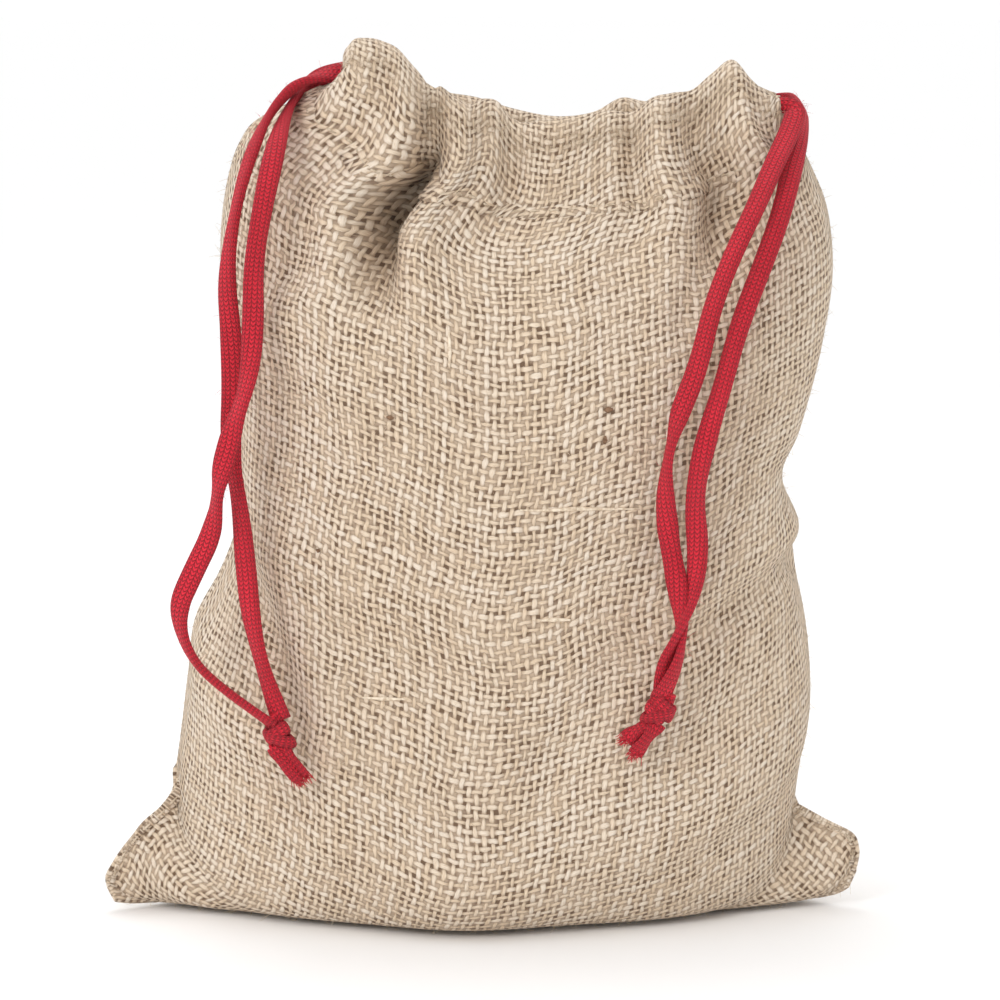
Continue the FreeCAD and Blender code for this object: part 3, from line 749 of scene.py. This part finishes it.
# Creases and swellings of the filled front, seen from the front: how far out, how wide, and a
# line of places.
MARKS = [
    (-3, 4.5, [(-62, 92), (-55, 75), (-49, 58), (-47, 33)]),
    (2.2, 7, [(-52, 96), (-44, 74), (-37, 52)]),
    (-3, 4.5, [(54, 78), (66, 86), (82, 94)]),
    (3, 8, [(52, 88), (66, 97), (82, 104)]),
    (-2.5, 9, [(17, 47), (24, 44)]),
    (-1.8, 7, [(42, 82), (30, 62), (15, 42)]),
    (1.5, 9, [(50, 70), (36, 46)]),
    (-1.8, 6, [(56, 126), (68, 122), (80, 120)]),
    (1.6, 10, [(-40, 150), (-20, 120), (10, 108)]),
    (-1.4, 9, [(-52, 128), (-34, 108), (-10, 96)]),
    (-2, 6, [(-60, 168), (-48, 176), (-38, 186)]),
    (2, 6, [(-54, 160), (-40, 168), (-30, 180)]),
    (-2.5, 4.5, [(66, 190), (60, 178), (52, 160)]),
    (2.2, 7, [(76, 186), (70, 170), (66, 150)]),
    (-1.5, 7, [(8, 184), (4, 165), (6, 145)]),
    (1.5, 8, [(24, 180), (22, 158)]),
]

# Where the front's cloth is pushed sideways over the deep pleat, in the same terms as a gather.
OVERHANGS = [
    (-54, -32, 4.5, -1, -1, 192, 224),
    (-68, -50, 4.5, 1, 3, 194, 224),
]

# How far the left and right corner ears lie towards the front, and where the foot sags forwards.
EARS_FORWARD = (15.0, 11.0)
TOE_PUSH = 6.5
TOE_ACROSS = -6.0
TOE_WIDTH = 22.0
# The back is flatter and rounder than the front, so that the girth stays near twice the width
# of a panel.
BACK_FLATTER = 0.16
BACK_LEANER = 0.8

OUTER_TOP = 250.0
STITCH_ROW = 229.0
INNER_DEPTH = 5.4
RIM_ROLL = 3.8
MOUTH_SIDE_DEPTH = 13.6
# From RIM_STARTS up the pattern (later at the sides) the cloth gives way to the rim's line, which
# rules from RIM_RULES. RIM_SLOPE is height per length of pattern there, and less at the sides.
RIM_SLOPE = 0.95
RIM_SLOPE_LOSS = 0.58
RIM_STARTS = 206.0
RIM_STARTS_LATER = 22.0
RIM_RULES = 246.0
LEAST_HEIGHT = 0.55
FINE_COLUMNS = 150
FINE_LINES = 190
COARSE_COLUMNS = 72
COARSE_LINES = 90
RELAX_FRAMES = 30
FURTHEST_MOVE = 7.0
CLOTH = {
    "quality": 8, "mass": 0.25, "tension_stiffness": 18.0, "compression_stiffness": 18.0,
    "shear_stiffness": 3.0, "bending_stiffness": 0.25, "air_damping": 4.0,
    "tension_damping": 12.0, "compression_damping": 12.0, "vertex_group_mass": "hold",
    "pin_stiffness": 3.0, "use_pressure": True, "uniform_pressure_force": 0.6,
}
# How much larger the sheet is cut than its resting shape, and how hard that shape holds it.
CUT_SPARE = 1.07
MOUTH_SPARE = 0.05
LEAST_HOLD = 0.30
MORE_HOLD = 0.60
ROLL_STEPS = 11
LAYER_GAP = 1.3
LEAST_GAP = 0.6
# The weave's share of an even spacing: least across, least up, most, and what the foot adds.
WEAVE_LEAST = (0.75, 0.8)
WEAVE_MOST = 1.12
FOOT_STRETCH = 0.8
WEAVE_MIDDLE_SHIFT = 8
BACK_WEAVE_SHIFT = 500.0
CLOTH_THICKNESS = 1.1
SEAM_THICKNESS = 1.9
SEAM_GAP = 0.8
FIBRES_ON_PANEL = 5200
FIBRE_RADIUS = 0.065
FIBRE_LEAST_HEIGHT = 0.3


def ease(value, low, high):
    """0 below low, 1 above high, smooth between."""
    f = np.clip((np.asarray(value, float) - low) / (high - low), 0.0, 1.0)
    return f * f * (3 - 2 * f)


def spell(value, rise, top, leave, end):
    """0 outside rise and end, 1 between top and leave."""
    return float(ease(value, rise, top) * (1 - ease(value, leave, end)))


def row_outline(left, right, depth, side_depth, fullness, fractions):
    """Points along half an outline, at equal shares of its length. Depth is positive."""
    swing = np.linspace(-math.pi / 2, math.pi / 2, 481)
    reach = np.sin(swing)
    x = (left + right) / 2 + (right - left) / 2 * reach
    y = side_depth + (depth - side_depth) * np.clip(1 - reach**2, 0, 1) ** (1 / fullness)
    run = np.cumsum(np.insert(np.hypot(np.diff(x), np.diff(y)), 0, 0))
    run /= run[-1]
    return np.interp(fractions, run, x), np.interp(fractions, run, y)


def gather_depth(gathers, across, up):
    """How far the gathers push the cloth outwards at a row."""
    total = np.zeros_like(across)
    for rim_at, foot_at, width, rim_push, most_push, start, strongest in gathers:
        middle = foot_at + (rim_at - foot_at) * float(ease(up, start, RIM))
        grown = float(ease(up, start, strongest))
        passed = float(ease(up, strongest, RIM))
        push = grown * (most_push + (rim_push - most_push) * passed)
        total += push * np.exp(-((across - middle) / width) ** 2)
    return total


def mark_depth(x, z):
    """How far the creases push the cloth outwards at places seen from the front."""
    total = np.zeros_like(x)
    for push, width, line in MARKS:
        near = np.full_like(x, 1e9)
        for (x0, z0), (x1, z1) in zip(line, line[1:]):
            dx, dz = x1 - x0, z1 - z0
            f = np.clip(((x - x0) * dx + (z - z0) * dz) / (dx * dx + dz * dz), 0, 1)
            near = np.minimum(near, np.hypot(x - x0 - f * dx, z - z0 - f * dz))
        total += push * np.exp(-((near / width) ** 2))
    return total


def face_grid(face, columns, lines):
    """The resting shape of one panel's outer layer: lines + 1 rows of columns + 1 points."""
    across = np.linspace(-HALF, HALF, columns + 1)
    fractions = (across + HALF) / (2 * HALF)
    side = np.abs(across / HALF)
    grid = np.zeros((lines + 1, columns + 1, 3))
    for line, up in enumerate(np.linspace(0, OUTER_TOP, lines + 1)):
        mid, left_z, right_z, depth, fullness = (float(through(ROWS, c, up)) for c in range(1, 6))
        left = float(through(SIDES, 1, left_z))
        right = float(through(SIDES, 2, right_z))
        if face == "back":
            slack = spell(up, 20, 60, 105, 145)
            depth *= 1 - BACK_FLATTER * slack
            fullness = 2 + (fullness - 2) * (1 - BACK_LEANER * slack)
        side_depth = MOUTH_SIDE_DEPTH * float(ease(up, 222, 240))
        depth = max(depth, side_depth + 0.1)
        x, y = row_outline(left, right, depth, side_depth, fullness, fractions)
        edge_z = np.where(across < 0, left_z, right_z)
        bow = 2.0 + 18.0 * (1 - float(ease(up, 2, 50)))
        z = mid + (edge_z - mid) * side**bow
        slope = RIM_SLOPE - RIM_SLOPE_LOSS * side**10
        rim_z = through(RIM_LINE[face], 1, across) - (RIM - up) * slope
        start = RIM_STARTS + RIM_STARTS_LATER * side**6
        z = z + (rim_z - z) * ease((up - start) / (RIM_RULES - start), 0, 1)
        push = gather_depth(GATHERS[face], across, up)
        if face == "front":
            push = push + mark_depth(x, z) * float(ease(up, 34, 60))
            low = spell(up, 20, 40, 48, 72)
            push = push + TOE_PUSH * low * np.exp(-((across - TOE_ACROSS) / TOE_WIDTH) ** 2)
        run_x = np.gradient(x)
        run_y = np.gradient(y)
        size = np.hypot(run_x, run_y) + 1e-9
        hold = 1.0 if up > STITCH_ROW + 1 else ease(1 - side, 0, 0.06)
        if face == "front":
            x = x + gather_depth(OVERHANGS, across, up)
        x = x - run_y / size * push * hold
        y = y + run_x / size * push * hold
        floor_y = MOUTH_SIDE_DEPTH * float(ease(up, 226, 238))
        ahead = np.where(across < 0, *EARS_FORWARD) * side**3 * (1 - float(ease(up, 20, 60)))
        y = FACES[face] * np.maximum(y, floor_y) - ahead
        grid[line] = np.stack([x, y, z], axis=1)
    return grid


def seam_line(lines):
    """The last row that the two panels share at the sides, just below the casing."""
    return int(round(STITCH_ROW / OUTER_TOP * lines)) - 1


def squares(face, rows, columns):
    """The four (row, column) corners of each square of a panel's grid, seen from outside."""
    for line in range(rows):
        for column in range(columns):
            ring = [(line, column), (line, column + 1), (line + 1, column + 1), (line + 1, column)]
            yield ring if face == "front" else ring[::-1]


def relax(shapes):
    """Let the whole pouch settle as cloth round its filling, and say how far each point went."""
    columns, lines = COARSE_COLUMNS, COARSE_LINES
    shared = seam_line(lines)
    points = []
    flats = []
    holds = []
    index = {}
    for face in FACES:
        for line in range(lines + 1):
            up = OUTER_TOP * line / lines
            for column in range(columns + 1):
                seam = line == 0 or (column in (0, columns) and line <= shared)
                if face == "back" and seam:
                    index[face, line, column] = index["front", line, column]
                    continue
                index[face, line, column] = len(points)
                points.append(shapes[face][line, column] * MM)
                flats.append(points[-1] * (CUT_SPARE + MOUTH_SPARE * float(ease(up, 150, 215))))
                base = 1.0 - float(ease(up, 4, 42))
                mouth = float(ease(up, 212, 238))
                edge = float(ease(abs(2 * column / columns - 1), 0.93, 1.0))
                holds.append(LEAST_HOLD + MORE_HOLD * max(base, mouth, 0.6 * edge))
    faces = [[index[face, line, column] for line, column in ring]
             for face in FACES for ring in squares(face, lines, columns)]
    mesh = bpy.data.meshes.new("relaxing")
    mesh.from_pydata([tuple(p) for p in points], [], faces)
    obj = bpy.data.objects.new("relaxing", mesh)
    scene.collection.objects.link(obj)
    obj.shape_key_add(name="Basis")
    cut = obj.shape_key_add(name="cut")
    for spot, flat in zip(cut.data, flats):
        spot.co = flat
    group = obj.vertex_groups.new(name="hold")
    for number, weight in enumerate(holds):
        group.add([number], weight, "REPLACE")
    cloth = obj.modifiers.new("cloth", "CLOTH")
    for setting, value in CLOTH.items():
        setattr(cloth.settings, setting, value)
    cloth.settings.rest_shape_key = cut
    cloth.collision_settings.use_collision = False
    for frame_number in range(1, RELAX_FRAMES + 1):
        scene.frame_set(frame_number)
    settled = obj.evaluated_get(bpy.context.evaluated_depsgraph_get())
    after = np.empty(len(points) * 3)
    settled.to_mesh().vertices.foreach_get("co", after)
    settled.to_mesh_clear()
    moved = (after.reshape(-1, 3) - np.array(points)) / MM
    scene.frame_set(1)
    bpy.data.objects.remove(obj)
    far = np.linalg.norm(moved, axis=1, keepdims=True)
    moved *= np.minimum(1.0, FURTHEST_MOVE / np.maximum(far, 1e-9))
    return {face: np.array([[moved[index[face, line, column]] for column in range(columns + 1)]
                            for line in range(lines + 1)]) for face in FACES}


def finer(field, rows, columns):
    """A field of values on a coarse grid, read smoothly at a finer one."""
    for axis, wanted in ((0, rows), (1, columns)):
        field = np.moveaxis(field, axis, 0)
        count = field.shape[0]
        slopes = np.gradient(field, axis=0)
        spot = np.linspace(0, count - 1, wanted)
        low = np.minimum(spot.astype(int), count - 2)
        f = (spot - low).reshape((-1,) + (1,) * (field.ndim - 1))
        field = cubic(f, field[low], slopes[low], field[low + 1], slopes[low + 1])
        field = np.moveaxis(field, 0, axis)
    return field


def with_casing(outer, sign):
    """The outer layer, then the fold at the rim, then the layer inside the casing."""
    ups = np.linspace(0, OUTER_TOP, outer.shape[0])
    rows = list(outer)
    tops = list(ups)
    rim = outer[-1]
    reach = (np.abs(rim[:, 1]) - INNER_DEPTH) / 2
    for angle in np.linspace(0, math.pi, ROLL_STEPS)[1:]:
        shift = np.zeros_like(rim)
        shift[:, 1] = -sign * reach * (1 - math.cos(angle))
        shift[:, 2] = RIM_ROLL * math.sin(angle)
        rows.append(rim + shift)
        tops.append(OUTER_TOP + 5.0 * angle)
    turned_at = tops[-1]
    first = int(np.searchsorted(ups, STITCH_ROW - 3.0))
    for line in range(len(ups) - 2, first - 1, -1):
        up = ups[line]
        row = outer[line].copy()
        close = np.maximum(np.abs(row[:, 1]) - LAYER_GAP, LEAST_GAP)
        inner = close + (INNER_DEPTH - close) * float(ease(up, STITCH_ROW, STITCH_ROW + 9.0))
        row[:, 1] = sign * inner
        rows.append(row)
        tops.append(turned_at + (OUTER_TOP - up))
    return np.array(rows), np.array(tops)


def panel_mesh(name, grid, tops, face):
    """One panel as a smooth sheet with its weave coordinates, thickened inwards."""
    rows, columns = grid.shape[:2]
    evenly = 2 * HALF / (columns - 1)
    stretch = WEAVE_MOST + FOOT_STRETCH * (1 - ease(tops, 40, 75))[:, None]
    steps = np.linalg.norm(np.diff(grid, axis=1), axis=2)
    steps = np.clip(steps, WEAVE_LEAST[0] * evenly, stretch * evenly)
    across = np.cumsum(np.insert(steps, 0, 0, axis=1), axis=1)
    across -= across[:, [columns // 2 + WEAVE_MIDDLE_SHIFT]]
    across[tops > OUTER_TOP] = across[np.searchsorted(tops, OUTER_TOP)]
    planned = np.diff(tops)[:, None]
    climbs = np.linalg.norm(np.diff(grid, axis=0), axis=2)
    climbs = np.clip(climbs, WEAVE_LEAST[1] * planned, stretch[1:] * planned)
    climb = np.cumsum(np.insert(climbs, 0, 0, axis=0), axis=0)
    shift = 0.0 if face == "front" else BACK_WEAVE_SHIFT
    mesh = Mesh()
    faces = []
    corners = []
    for ring in squares(face, rows - 1, columns - 1):
        faces.append([r * columns + c for r, c in ring])
        corners += [((across[r, c] + shift) / THREAD_PITCH, climb[r, c] / THREAD_PITCH)
                    for r, c in ring]
    mesh.add(grid.reshape(-1, 3), faces, corners)
    panel = mesh.place(name, JUTE, "pouch", "jute_cloth")
    thicken = panel.modifiers.new("thickness", "SOLIDIFY")
    thicken.thickness = CLOTH_THICKNESS * MM
    thicken.offset = -1.0
    return panel


def seam_strip(name, line, inward, width, node):
    """The two turned-in edges of cloth along a seam."""
    line = np.array(line)
    inward = unit(np.array(inward, float))
    mesh = Mesh()
    facing = unit(np.cross(np.gradient(line, axis=0), inward))
    middle = line + inward * (np.asarray(width)[:, None] / 2 + SEAM_GAP)
    ribbon(mesh, middle, facing, width, SEAM_THICKNESS, sides=10)
    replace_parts(mesh.place(name, JUTE, "pouch", "jute_cloth"), node)


def stitches(name, line, facing, node):
    """Short threads in a row along a line of points, lying on the side they face."""
    pitch, length, radius, rise, sink = 5.0, 3.2, 0.42, 0.75, 0.45
    run = along(line)
    mesh = Mesh()
    lines = []
    for start in np.arange(2.0, run[-1] - length, pitch):
        share = np.linspace(0, 1, 6)
        spots = start + share * length
        middle = np.stack([np.interp(spots, run, line[:, k]) for k in range(3)], axis=1)
        out = np.stack([np.interp(spots, run, facing[:, k]) for k in range(3)], axis=1)
        arch = (np.sin(np.pi * share) * rise - sink)[:, None]
        lines.append(middle + unit(out) * arch)
    fine_lines(mesh, lines, radius, sides=7)
    row = mesh.place(name, THREAD, "pouch", "sewing_thread")
    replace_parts(row, node)
    return row


def loose_fibres(name, outer, normals):
    """Short hairs that stand off the cloth."""
    lines = []
    rows, columns = outer.shape[:2]
    for number in range(FIBRES_ON_PANEL):
        r = int(rng.integers(1 if number % 4 else rows - 4, rows - 1))
        c = int(rng.integers(1, columns - 1))
        base = outer[r, c]
        out = normals[r, c]
        way = unit(out * rng.uniform(0.15, 0.9) + rng.normal(0, 0.6, 3))
        reach = rng.uniform(0.9, 3.2)
        bend = rng.normal(0, 0.7, 3) - out * 0.4
        line = np.array([base - out * 0.2 + way * reach * f + bend * f * f
                         for f in np.linspace(0, 1, 5)])
        line[:, 2] = np.maximum(line[:, 2], FIBRE_LEAST_HEIGHT)
        lines.append(line)
    mesh = Mesh()
    fine_lines(mesh, lines, FIBRE_RADIUS, sides=3)
    return mesh.place(name, FIBRE, "pouch", "jute_cloth")


# Thick threads and dark flecks in the front's cloth: half thickness and a line of places.
SLUBS = [
    (0.62, [(9.7, 112.2), (16, 111.9), (24, 112.4), (32, 112.1), (40.5, 112)]),
    (0.70, [(14.8, 83.2), (18.8, 83.6), (22.8, 83.3)]),
    (0.58, [(-31, 62.6), (-25, 62.3), (-19.5, 62.5)]),
    (0.55, [(60.4, 144), (60.8, 138), (60.5, 132.5)]),
    (0.58, [(-8.5, 158), (-8.1, 153), (-8.4, 148.5)]),
]
FLECKS = [
    (0.95, [(31.2, 137.9), (32.2, 137.7), (33.5, 138)]),
    (0.70, [(-24.5, 135.9), (-23.5, 135.7), (-22.6, 135.5)]),
    (0.70, [(31.5, 131.1), (31.6, 130.1), (31.3, 129)]),
    (0.62, [(-43, 100.4), (-42.5, 100.2), (-42, 100.1)]),
    (0.62, [(6, 60.2), (6.6, 60.4), (7.2, 60.5)]),
]


def odd_threads(name, lines, material, outer, normals):
    """Short raised threads that follow the face of the cloth."""
    spots = outer.reshape(-1, 3)
    outward = normals.reshape(-1, 3)
    mesh = Mesh()
    for radius, places in lines:
        line = []
        for x, z in places:
            nearest = int(np.argmin((spots[:, 0] - x) ** 2 + (spots[:, 2] - z) ** 2))
            line.append((x, spots[nearest, 1] + outward[nearest, 1] * 0.25, z))
        path = strand_path(line)
        middle = len(path) // 2
        fine_lines(mesh, [path[middle::-1], path[middle:]], radius, sides=7)
    return mesh.place(name, material, "pouch", "jute_cloth")


coarse = {face: face_grid(face, COARSE_COLUMNS, COARSE_LINES) for face in FACES}
fields = relax(coarse)
grids = {}
for face in FACES:
    grid = face_grid(face, FINE_COLUMNS, FINE_LINES)
    if fields:
        grid = grid + finer(fields[face], FINE_LINES + 1, FINE_COLUMNS + 1)
    grid[..., 2] = np.maximum(grid[..., 2], LEAST_HEIGHT)
    grids[face] = grid
# The panels meet halfway along their side seams.
shared = seam_line(FINE_LINES)
seams = np.s_[:shared + 1, [0, FINE_COLUMNS]]
halfway = (grids["front"][seams] + grids["back"][seams]) / 2
for face in FACES:
    grids[face][seams] = halfway

for face, sign in FACES.items():
    outer = grids[face]
    full, tops = with_casing(outer, sign)
    panel = panel_mesh(face + "_cloth", full, tops, face)
    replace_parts(panel, face + "_panel", face + "_casing")
    normals = unit(np.cross(np.gradient(outer, axis=1), np.gradient(outer, axis=0))) * -sign
    row = stitches(face + "_hem_stitches", outer[shared + 1], normals[shared + 1],
                   face + "_casing_stitching")
    hairs = loose_fibres(face + "_loose_fibres", outer, normals)
    if face == "front":
        odd_threads("thick_threads", SLUBS, SLUB, outer, normals)
        odd_threads("dark_flecks", FLECKS, BARK, outer, normals)

for side, column, inward in (("left", 0, (1, 0, 0)), ("right", FINE_COLUMNS, (-1, 0, 0))):
    edge = grids["front"][4:shared - 14:4, column]
    width = 1.5 + 5.0 * ease(edge[:, 2], 16, 50)
    seam_strip(side + "_seam_allowance", edge, np.tile(inward, (len(edge), 1)), width,
               side + "_side_seam")
    ahead = np.tile(FORWARD, (len(edge), 1))
    middle = edge + np.array(inward) * (width[:, None] * 0.55 + SEAM_GAP) + ahead
    stitches(side + "_seam_stitches", middle, ahead, side + "_seam_stitching")
bottom = grids["front"][0, 6:-6:3] + (0.0, 0.0, 0.6)
upward = np.tile((0.0, 0.0, 1.0), (len(bottom), 1))
seam_strip("bottom_seam_allowance", bottom, upward, np.full(len(bottom), 4.0), "bottom_seam")
stitches("bottom_seam_stitches", bottom + upward * 3.0 + (0.0, -1.1, 0.0),
         np.tile(FORWARD, (len(bottom), 1)), "bottom_seam_stitching")
